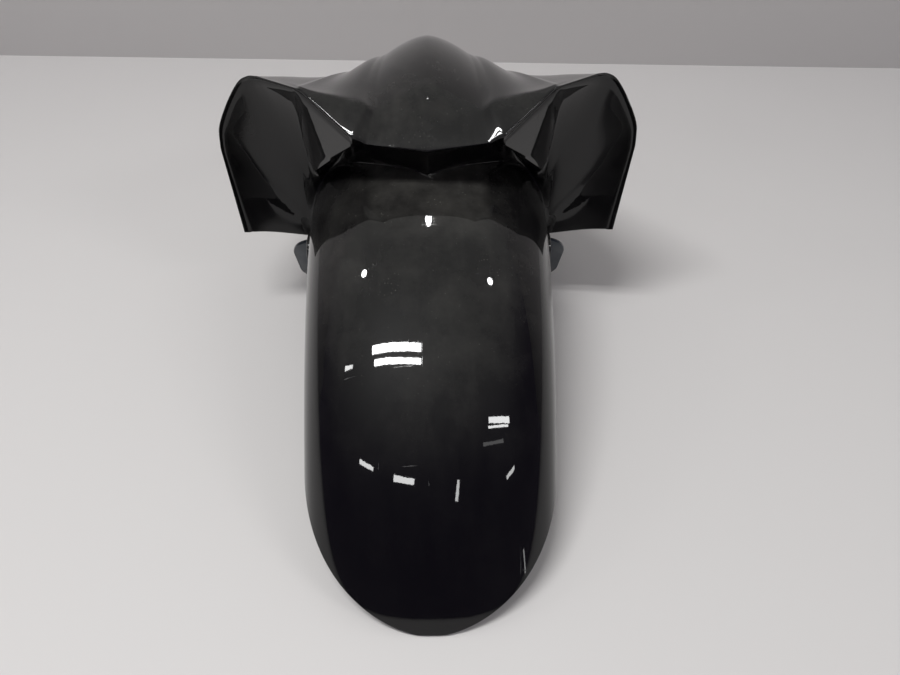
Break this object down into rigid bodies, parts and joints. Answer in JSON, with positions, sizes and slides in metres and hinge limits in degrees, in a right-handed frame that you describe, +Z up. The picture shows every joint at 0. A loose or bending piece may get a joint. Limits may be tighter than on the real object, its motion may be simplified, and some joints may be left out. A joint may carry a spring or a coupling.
{
  "type": "motorcycle front mudguard",
  "caption": "Gloss black one-piece front mudguard with a long rounded tongue, a step up to a raised cowl, hollowed fork covers and side lugs for bolting to the fork.",
  "frame": {"origin": "on the floor, under the middle of the mudguard's overall length and width", "axes": "+Z up, +Y along the wheel from the tip of the long tongue towards the cowl, +X to the right seen from the tongue"},
  "size_m": [0.2928, 0.53, 0.2192],
  "materials": {
    "gloss_black": "gloss"
  },
  "bodies": {
    "root": {"mudguard": "gloss_black"}
  },
  "joints": []
}
